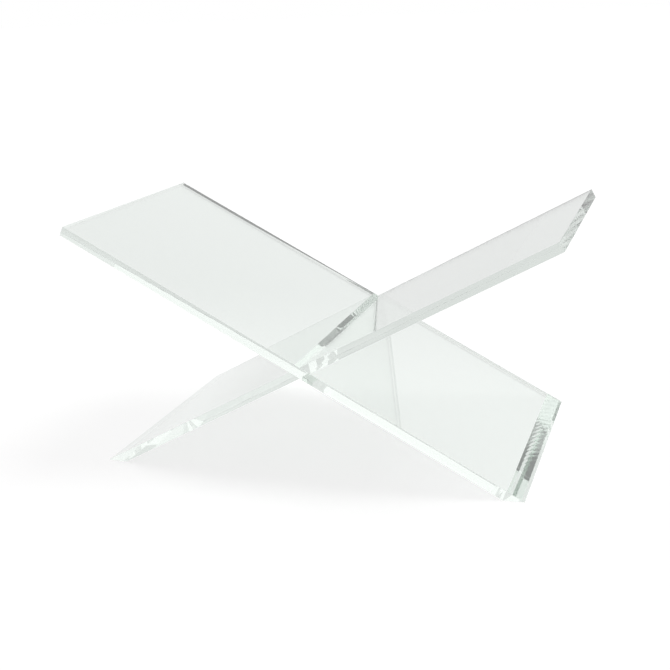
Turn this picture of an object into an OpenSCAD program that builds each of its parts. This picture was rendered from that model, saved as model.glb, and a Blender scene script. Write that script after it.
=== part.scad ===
// Cross-shaped rack: two clear acrylic panels of the same cut, one turned end for end,
// slide into each other by slots that run half their depth. Their upper arms make the
// valley that holds magazines, and their lower arms are the legs.
// +X runs across the valley, +Y to the back, +Z up, and the floor is at Z = 0.

/* [Panels] */
// Length of a panel along its slope, at the middle of its thickness
panel_len = 420; // [360:5:600]
// Depth of a panel, from its front edge to its back edge
panel_depth = 225; // [150:5:350]
// Thickness of the acrylic sheet
sheet_t = 8; // [5:0.5:15]
// Slope of each panel above the floor, in degrees
slope = 28.2; // [20:0.1:40]
// Length of the lower arm, from the crossing down the slope to the floor
lower_arm = 192; // [150:2:240]

/* [Slots] */
// Air between a slot's walls and the faces of the panel that stands in it
slot_play = 0.15; // [0.05:0.05:0.5]
// How far each slot is cut past the middle of the depth
slot_overrun = 0.3; // [0.1:0.1:2]

/* [Hidden] */
upper_arm = panel_len - lower_arm;
cross_h = lower_arm * sin(slope);
half_t = sheet_t / 2;
half_depth = panel_depth / 2;
// The foot is cut level with the floor, so it runs past mid thickness by this much
foot_run = half_t / tan(slope);
// The two panels lean apart by twice the slope, and the slots are cut at that angle
slot_angle = 2 * slope;
slot_w = sheet_t + 2 * slot_play;
// Cutting tools reach this far past what they cut
past = 1;
// A slot tool this long passes right through the sheet at the slot's angle
slot_reach = (sheet_t + slot_w + 2 * past) / sin(slot_angle);

// Outline of a panel along its slope: X is the slope, Y the thickness, and the origin
// is the crossing. The foot at the left end is level once the panel is tilted.
module slope_outline() {
    polygon([
        [-lower_arm - foot_run, half_t],
        [-lower_arm + foot_run, -half_t],
        [upper_arm, -half_t],
        [upper_arm, half_t]
    ]);
}

// Slot from the front edge to just past mid depth, its walls flush with the faces of the
// other panel
module slot() {
    rotate([0, slot_angle, 0])
        translate([-slot_reach, -half_depth - past, -slot_w / 2])
            cube([2 * slot_reach, half_depth + past + slot_overrun, slot_w]);
}

// One panel lying flat, with the crossing at the origin
module flat_panel() {
    difference() {
        rotate([90, 0, 0])
            linear_extrude(height = panel_depth, center = true)
                slope_outline();
        slot();
    }
}

// The panel tilted to its slope, with its foot on the floor
module standing_panel() {
    translate([0, 0, cross_h])
        rotate([0, -slope, 0])
            flat_panel();
}

// Slotted from the front: its wing rises to the right and its foot is at the left
module right_wing_panel() {
    color([0.86, 0.94, 0.89, 0.45]) standing_panel();
}

// Slotted from the back: the same panel turned end for end
module left_wing_panel() {
    color([0.82, 0.92, 0.86, 0.45]) rotate([0, 0, 180]) standing_panel();
}

left_wing_panel();
right_wing_panel();
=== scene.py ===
import math

import bpy
from mathutils import Matrix, Vector

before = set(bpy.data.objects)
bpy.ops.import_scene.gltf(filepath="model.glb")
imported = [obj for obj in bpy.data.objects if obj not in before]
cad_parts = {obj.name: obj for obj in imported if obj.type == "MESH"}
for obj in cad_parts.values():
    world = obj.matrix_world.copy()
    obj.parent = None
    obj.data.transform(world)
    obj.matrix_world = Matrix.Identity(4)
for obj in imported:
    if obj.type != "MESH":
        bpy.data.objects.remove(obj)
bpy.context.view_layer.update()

# Cross-shaped rack of two clear acrylic panels. The CAD nodes hold the shape; this script gives
# them their polished edges and their acrylic, and sets the floor, the light and the camera.

# ---- Panels, in metres -----------------------------------------------------------------------

PANELS = ("left_wing_panel", "right_wing_panel")
SLOTS = {"left_wing_panel": "left_acrylic", "right_wing_panel": "right_acrylic"}
SLOPE = math.radians(28.2)      # angle between each panel and the floor
LEAN = {"left_wing_panel": -1.0, "right_wing_panel": 1.0}  # which way each panel rises along X
EDGE_ROUND = 0.00006            # width of the rounding that polishing leaves on the arrises
SAME_POINT = 0.000001           # corners of neighbouring faces closer than this are one corner
EDGE_CROWN = 2.5                # swell of the long edges, as bump: drop / offset from middle squared
BROAD_FACE = (0.80, 0.98)       # facing through the sheet at which an edge ends and a face starts
LONG_EDGE = (0.95, 0.99)        # facing along Y at which a long edge starts and is in full

# ---- The acrylic's finish --------------------------------------------------------------------

SHEET_TINT = (0.905, 0.945, 0.918, 1.0)
DEPTH_TINT = (0.75, 0.90, 0.80, 1.0)        # colour that light takes on along the sheet
DEPTH_TINT_DENSITY = 0.3
SHADOW_TINT = (0.895, 0.888, 0.892, 1.0)    # share of a lamp's light that passes one surface
ACRYLIC_IOR = 1.49
SMUDGE_SCALE = 9.0
SMUDGE_DETAIL = 4.0
SMUDGE_RANGE = (0.5, 0.8)                   # noise between which the smudges appear
SMUDGE_ROUGHNESS = 0.01                     # roughest spots of the broad faces
POLISH_LINE_SCALE = 60.0
POLISH_LINE_DETAIL = 3.0
POLISH_LINE_RANGE = (0.3, 0.7)
POLISH_LINE_STRETCH = (0.08, 0.08, 40.0)    # the lines run along the edge, many to a sheet
POLISH_LINE_ROUGHNESS = 0.02
POLISH_LINE_STRENGTH = 0.03
POLISH_LINE_DEPTH = 0.00002

# ---- Floor and light: 1 is white -------------------------------------------------------------

FLOOR_SIZE = 60.0
FLOOR_GAP = 0.0003              # air between the feet and the floor
PAINTED_DARK_FROM_Y = -0.39             # painted shade: Y beyond which, towards the camera, the floor is painted dark where the acrylic mirrors it
PAINTED_DARK_BLUR = 0.01         # half the width over which the painted dark fades in
FLOOR_COLOUR = 0.86             # reflectance of the sweep
FLOOR_ROUGHNESS = 0.9
AMBIENT = 0.45                  # soft light from all round, as the floor receives it
KEY_LIGHT = 0.55                # light of the large softbox overhead, on a level surface
SOFTBOX_DIRECTION = (0.45, 0.36, 1.0)
SOFTBOX_WIDTH = math.radians(35)
WHITE_LIFT = 0.18               # lifts the lit floor to white where the camera sees it
GLASS_FLOOR = 0.32              # reflectance of the sweep as it shows in and through the acrylic, lower than for the camera, so its shadow shows weaker there
GLASS_LIFT_NEAR = 0.62          # painted light: a glow that lifts it there towards white, strongest under the rack where its shadow falls
GLASS_LIFT_FAR = 0.51           # and the painted glow farther back
GLASS_LIFT_FADE = 0.5           # Y at which farther back is reached
GLASS_SURROUNDINGS = 0.88       # the surroundings as they show straight through the acrylic
DARK_ROOM = 0.20                # the unlit room that the acrylic mirrors: a world level, and also the painted-dark floor colour in front

# ---- Backdrop that the acrylic mirrors, as components of a direction ---------------------------

BACKDROP_SIDES = (0.45, 0.70)   # Y where the backdrop starts, and where it is in full
BACKDROP_TOP = (0.58, 0.70)     # Z where it starts to end, and where it has ended
BACKDROP_GLOW = (0.0, 0.40)     # Z between which it gets brighter
BACKDROP_LEVELS = (0.84, 1.10)  # its levels there

# ---- Light paths -----------------------------------------------------------------------------

BOUNCES_IN_A_PANEL = 160
TRANSPARENT_BOUNCES = 16


# ---- Camera ----------------------------------------------------------------------------------

def add_camera():
    """The photograph's viewing angle: a little from the right, a little from above."""
    azimuth = math.radians(18.74)
    elevation = math.radians(16.74)
    roll = math.radians(-2.13)
    distance = 0.9678
    target = Vector((-0.00745, 0.0, 0.08822))
    back = Vector((
        math.sin(azimuth) * math.cos(elevation),
        -math.cos(azimuth) * math.cos(elevation),
        math.sin(elevation),
    ))
    level_right = (-back).cross(Vector((0, 0, 1))).normalized()
    level_up = level_right.cross(-back)
    right = math.cos(roll) * level_right + math.sin(roll) * level_up
    up = math.cos(roll) * level_up - math.sin(roll) * level_right
    data = bpy.data.cameras.new("photo_camera")
    data.sensor_width = 36.0
    data.lens = 59.1
    camera = bpy.data.objects.new("photo_camera", data)
    place = Matrix((right, up, back)).transposed().to_4x4()
    place.translation = target + distance * back
    camera.matrix_world = place
    bpy.context.scene.collection.objects.link(camera)
    bpy.context.scene.camera = camera


# ---- Node helpers ----------------------------------------------------------------------------

def new_material(name):
    material = bpy.data.materials.new(name)
    material.use_nodes = True
    return material, material.node_tree


def math_node(tree, operation, *values):
    """A Math node; each input is a number or a socket."""
    node = tree.nodes.new("ShaderNodeMath")
    node.operation = operation
    for slot, value in enumerate(values):
        if isinstance(value, (int, float)):
            node.inputs[slot].default_value = value
        else:
            tree.links.new(value, node.inputs[slot])
    return node.outputs[0]


def map_range(tree, value, from_low, from_high, to_low, to_high):
    """A smooth step from to_low to to_high, as value goes from from_low to from_high."""
    node = tree.nodes.new("ShaderNodeMapRange")
    node.interpolation_type = "SMOOTHSTEP"
    tree.links.new(value, node.inputs["Value"])
    node.inputs["From Min"].default_value = from_low
    node.inputs["From Max"].default_value = from_high
    node.inputs["To Min"].default_value = to_low
    node.inputs["To Max"].default_value = to_high
    return node.outputs[0]


def blend_values(tree, factor, first, second):
    """first where factor is 0, second where it is 1; each is a number or a socket."""
    node = tree.nodes.new("ShaderNodeMix")
    tree.links.new(factor, node.inputs["Factor"])
    for name, value in (("A", first), ("B", second)):
        if isinstance(value, (int, float)):
            node.inputs[name].default_value = value
        else:
            tree.links.new(value, node.inputs[name])
    return node.outputs["Result"]


def ray_kinds(tree):
    """Sockets that are 1 for the camera's own rays, for rays that show the surroundings in or
    through the acrylic, and for those of them that a surface has mirrored on the way."""
    path = tree.nodes.new("ShaderNodeLightPath")
    camera = path.outputs["Is Camera Ray"]
    glossy = path.outputs["Is Glossy Ray"]
    in_glass = math_node(tree, "MAXIMUM", glossy, path.outputs["Is Transmission Ray"])
    before_floor = math_node(tree, "LESS_THAN", path.outputs["Diffuse Depth"], 0.5)
    in_glass = math_node(tree, "MULTIPLY", in_glass, before_floor)
    reflected = math_node(tree, "GREATER_THAN", path.outputs["Glossy Depth"], 0.5)
    mirrored = math_node(tree, "MULTIPLY", in_glass, reflected)
    return camera, in_glass, mirrored


# ---- Acrylic ---------------------------------------------------------------------------------

def panel_coordinates(tree, lean):
    """Object coordinates turned so that Z is through the sheet and X runs along the panel."""
    place = tree.nodes.new("ShaderNodeTexCoord")
    turn = tree.nodes.new("ShaderNodeVectorRotate")
    turn.rotation_type = "Y_AXIS"
    turn.inputs["Angle"].default_value = lean * SLOPE
    tree.links.new(place.outputs["Object"], turn.inputs["Vector"])
    return turn.outputs["Vector"]


def noise(tree, vector, scale, detail, stretch=(1, 1, 1)):
    mapping = tree.nodes.new("ShaderNodeMapping")
    mapping.inputs["Scale"].default_value = stretch
    tree.links.new(vector, mapping.inputs["Vector"])
    texture = tree.nodes.new("ShaderNodeTexNoise")
    texture.inputs["Scale"].default_value = scale
    texture.inputs["Detail"].default_value = detail
    tree.links.new(mapping.outputs["Vector"], texture.inputs["Vector"])
    return texture.outputs["Fac"]


def facing(tree, direction):
    """How squarely a surface faces along a direction, either way: 1 is squarely."""
    geometry = tree.nodes.new("ShaderNodeNewGeometry")
    along = tree.nodes.new("ShaderNodeVectorMath")
    along.operation = "DOT_PRODUCT"
    along.inputs[1].default_value = direction
    tree.links.new(geometry.outputs["True Normal"], along.inputs[0])
    return math_node(tree, "ABSOLUTE", along.outputs["Value"])


def edge_mask(tree, lean):
    """1 on the cut edges, feet and slot walls, 0 on the two broad faces."""
    through_sheet = (-lean * math.sin(SLOPE), 0.0, math.cos(SLOPE))
    return map_range(tree, facing(tree, through_sheet), *BROAD_FACE, 1.0, 0.0)


def long_edge_mask(tree):
    """1 on the edges that run along the panel and on its slot's blind end, 0 elsewhere."""
    return map_range(tree, facing(tree, (0.0, 1.0, 0.0)), *LONG_EDGE, 0.0, 1.0)


def sheet_middle(panel, lean):
    """How far the middle of the sheet lies from the origin, measured through the sheet."""
    through_sheet = Vector((-lean * math.sin(SLOPE), 0.0, math.cos(SLOPE)))
    heights = [through_sheet.dot(vertex.co) for vertex in panel.data.vertices]
    return (min(heights) + max(heights)) / 2


def crown_height(tree, place, middle):
    """The slight swell that polishing leaves across a long edge."""
    axes = tree.nodes.new("ShaderNodeSeparateXYZ")
    tree.links.new(place, axes.inputs[0])
    offset = math_node(tree, "SUBTRACT", axes.outputs["Z"], middle)
    squared = math_node(tree, "MULTIPLY", offset, offset)
    swell = math_node(tree, "MULTIPLY", squared, -EDGE_CROWN)
    return math_node(tree, "MULTIPLY", swell, long_edge_mask(tree))


def set_roughness(tree, shader, place, edges, polish_lines):
    """Faint smudges on the broad faces and polishing lines on the edges."""
    smudges = noise(tree, place, SMUDGE_SCALE, SMUDGE_DETAIL)
    face_rough = map_range(tree, smudges, *SMUDGE_RANGE, 0.0, SMUDGE_ROUGHNESS)
    edge_rough = map_range(tree, polish_lines, *POLISH_LINE_RANGE, 0.0, POLISH_LINE_ROUGHNESS)
    tree.links.new(blend_values(tree, edges, face_rough, edge_rough), shader.inputs["Roughness"])


def set_relief(tree, shader, place, edges, polish_lines, middle):
    """The polishing lines' depth and, over it, the crown of the long edges."""
    lines = tree.nodes.new("ShaderNodeBump")
    lines.inputs["Strength"].default_value = POLISH_LINE_STRENGTH
    lines.inputs["Distance"].default_value = POLISH_LINE_DEPTH
    edge_height = math_node(tree, "MULTIPLY", polish_lines, edges)
    tree.links.new(edge_height, lines.inputs["Height"])
    crown = tree.nodes.new("ShaderNodeBump")
    crown.inputs["Strength"].default_value = 1.0
    crown.inputs["Distance"].default_value = 1.0
    tree.links.new(crown_height(tree, place, middle), crown.inputs["Height"])
    tree.links.new(lines.outputs["Normal"], crown.inputs["Normal"])
    tree.links.new(crown.outputs["Normal"], shader.inputs["Normal"])


def acrylic(name, lean, middle):
    """Clear cast acrylic, faintly green, with polished faces and flame-polished edges."""
    material, tree = new_material(name)
    shader = tree.nodes["Principled BSDF"]
    output = tree.nodes["Material Output"]
    shader.inputs["Base Color"].default_value = SHEET_TINT
    shader.inputs["Transmission Weight"].default_value = 1.0
    shader.inputs["IOR"].default_value = ACRYLIC_IOR
    absorption = tree.nodes.new("ShaderNodeVolumeAbsorption")
    absorption.inputs["Color"].default_value = DEPTH_TINT
    absorption.inputs["Density"].default_value = DEPTH_TINT_DENSITY
    tree.links.new(absorption.outputs["Volume"], output.inputs["Volume"])
    place = panel_coordinates(tree, lean)
    edges = edge_mask(tree, lean)
    polish_lines = noise(tree, place, POLISH_LINE_SCALE, POLISH_LINE_DETAIL, POLISH_LINE_STRETCH)
    set_roughness(tree, shader, place, edges, polish_lines)
    set_relief(tree, shader, place, edges, polish_lines, middle)
    give_light_shadow(tree, shader.outputs["BSDF"], output)
    return material


def give_light_shadow(tree, glass, output):
    """Shadow rays pass the acrylic dimmed instead of stopping at it."""
    clear = tree.nodes.new("ShaderNodeBsdfTransparent")
    clear.inputs["Color"].default_value = SHADOW_TINT
    path = tree.nodes.new("ShaderNodeLightPath")
    mix = tree.nodes.new("ShaderNodeMixShader")
    tree.links.new(path.outputs["Is Shadow Ray"], mix.inputs["Fac"])
    tree.links.new(glass, mix.inputs[1])
    tree.links.new(clear.outputs["BSDF"], mix.inputs[2])
    tree.links.new(mix.outputs["Shader"], output.inputs["Surface"])


def dress_panel(node):
    """Keeps the CAD panel, rounds its arrises as polishing does, and gives it its acrylic.
    Its faces come with corners of their own, and only joined faces can be rounded."""
    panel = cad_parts[node]
    joined = panel.modifiers.new("joined_faces", "WELD")
    joined.merge_threshold = SAME_POINT
    rounding = panel.modifiers.new("polished_arris", "BEVEL")
    rounding.width = EDGE_ROUND
    rounding.segments = 2
    rounding.limit_method = "ANGLE"
    rounding.angle_limit = math.radians(30)
    panel.data.materials.clear()
    middle = sheet_middle(panel, LEAN[node])
    panel.data.materials.append(acrylic(SLOTS[node], LEAN[node], middle))


# ---- Floor, light and surroundings -----------------------------------------------------------

def add_floor():
    """A pale sweep, white as the background and keeping its shadow. Beyond a given Y towards the
    camera its colour is painted dark, as painted shade that shows only where the acrylic mirrors it;
    the lamps still light it there."""
    material, tree = new_material("pale_sweep")
    shader = tree.nodes["Principled BSDF"]
    shader.inputs["Roughness"].default_value = FLOOR_ROUGHNESS
    shader.inputs["Specular IOR Level"].default_value = 0.0
    camera, in_glass, mirrored = ray_kinds(tree)
    place = tree.nodes.new("ShaderNodeTexCoord")
    axes = tree.nodes.new("ShaderNodeSeparateXYZ")
    tree.links.new(place.outputs["Object"], axes.inputs[0])
    front_start = PAINTED_DARK_FROM_Y - PAINTED_DARK_BLUR
    front_end = PAINTED_DARK_FROM_Y + PAINTED_DARK_BLUR
    in_front = map_range(tree, axes.outputs["Y"], front_start, front_end, 1.0, 0.0)
    # painted shade: in front of the given Y the floor is coloured dark for mirrored rays only, in
    # place of the unlit room
    painted_dark = math_node(tree, "MULTIPLY", in_front, mirrored)
    level = blend_values(tree, in_glass, FLOOR_COLOUR, GLASS_FLOOR)
    level = blend_values(tree, painted_dark, level, DARK_ROOM)
    tint = tree.nodes.new("ShaderNodeCombineColor")
    for channel in ("Red", "Green", "Blue"):
        tree.links.new(level, tint.inputs[channel])
    tree.links.new(tint.outputs["Color"], shader.inputs["Base Color"])
    camera_lift = math_node(tree, "MULTIPLY", camera, WHITE_LIFT)
    outside_painted_dark = math_node(tree, "SUBTRACT", 1.0, painted_dark)
    # painted light: a glow seen only in and through the acrylic, stronger under the rack, lightening
    # the shadow there
    lift_at = map_range(tree, axes.outputs["Y"], 0.0, GLASS_LIFT_FADE, GLASS_LIFT_NEAR, GLASS_LIFT_FAR)
    glass_lift = math_node(tree, "MULTIPLY", math_node(tree, "MULTIPLY", in_glass, outside_painted_dark), lift_at)
    lift = math_node(tree, "MAXIMUM", camera_lift, glass_lift)
    shader.inputs["Emission Color"].default_value = (1.0, 1.0, 1.0, 1.0)
    tree.links.new(lift, shader.inputs["Emission Strength"])
    bpy.ops.mesh.primitive_plane_add(size=FLOOR_SIZE, location=(0.0, 0.0, -FLOOR_GAP))
    floor = bpy.context.object
    floor.name = "floor"
    floor.data.materials.append(material)


def add_world():
    """White for the camera, and a soft light for the floor, the same from all round. The
    acrylic mirrors a bright backdrop behind it and the dark room on its other sides."""
    world = bpy.data.worlds.new("studio")
    bpy.context.scene.world = world
    world.use_nodes = True
    tree = world.node_tree
    background = tree.nodes["Background"]
    background.inputs["Color"].default_value = (1.0, 1.0, 1.0, 1.0)
    camera, in_glass, mirrored = ray_kinds(tree)
    direction = tree.nodes.new("ShaderNodeTexCoord")
    axes = tree.nodes.new("ShaderNodeSeparateXYZ")
    tree.links.new(direction.outputs["Generated"], axes.inputs[0])
    behind = map_range(tree, axes.outputs["Y"], *BACKDROP_SIDES, 0.0, 1.0)
    below_top = map_range(tree, axes.outputs["Z"], *BACKDROP_TOP, 1.0, 0.0)
    backdrop = math_node(tree, "MULTIPLY", behind, below_top)
    backdrop_level = map_range(tree, axes.outputs["Z"], *BACKDROP_GLOW, *BACKDROP_LEVELS)
    mirrored_level = blend_values(tree, backdrop, DARK_ROOM, backdrop_level)
    level = blend_values(tree, in_glass, AMBIENT, GLASS_SURROUNDINGS)
    level = blend_values(tree, mirrored, level, mirrored_level)
    level = math_node(tree, "MAXIMUM", level, camera)
    tree.links.new(level, background.inputs["Strength"])


def add_softbox():
    """The large softbox overhead, behind and to the right, which casts the soft shadow."""
    lamp = bpy.data.lights.new("softbox", "SUN")
    towards = Vector(SOFTBOX_DIRECTION).normalized()
    lamp.energy = KEY_LIGHT * math.pi / towards.z
    lamp.angle = SOFTBOX_WIDTH
    softbox = bpy.data.objects.new("softbox", lamp)
    softbox.rotation_euler = towards.to_track_quat("Z", "Y").to_euler()
    softbox.visible_glossy = False
    softbox.visible_transmission = False
    bpy.context.scene.collection.objects.link(softbox)


def set_light_paths():
    """Enough bounces for light that runs along inside a panel."""
    cycles = bpy.context.scene.cycles
    cycles.max_bounces = BOUNCES_IN_A_PANEL
    cycles.glossy_bounces = BOUNCES_IN_A_PANEL
    cycles.transmission_bounces = BOUNCES_IN_A_PANEL
    cycles.transparent_max_bounces = TRANSPARENT_BOUNCES
    cycles.blur_glossy = 0.0


add_camera()
for panel_node in PANELS:
    dress_panel(panel_node)
add_floor()
add_world()
add_softbox()
set_light_paths()
bpy.context.scene.view_settings.view_transform = "Standard"
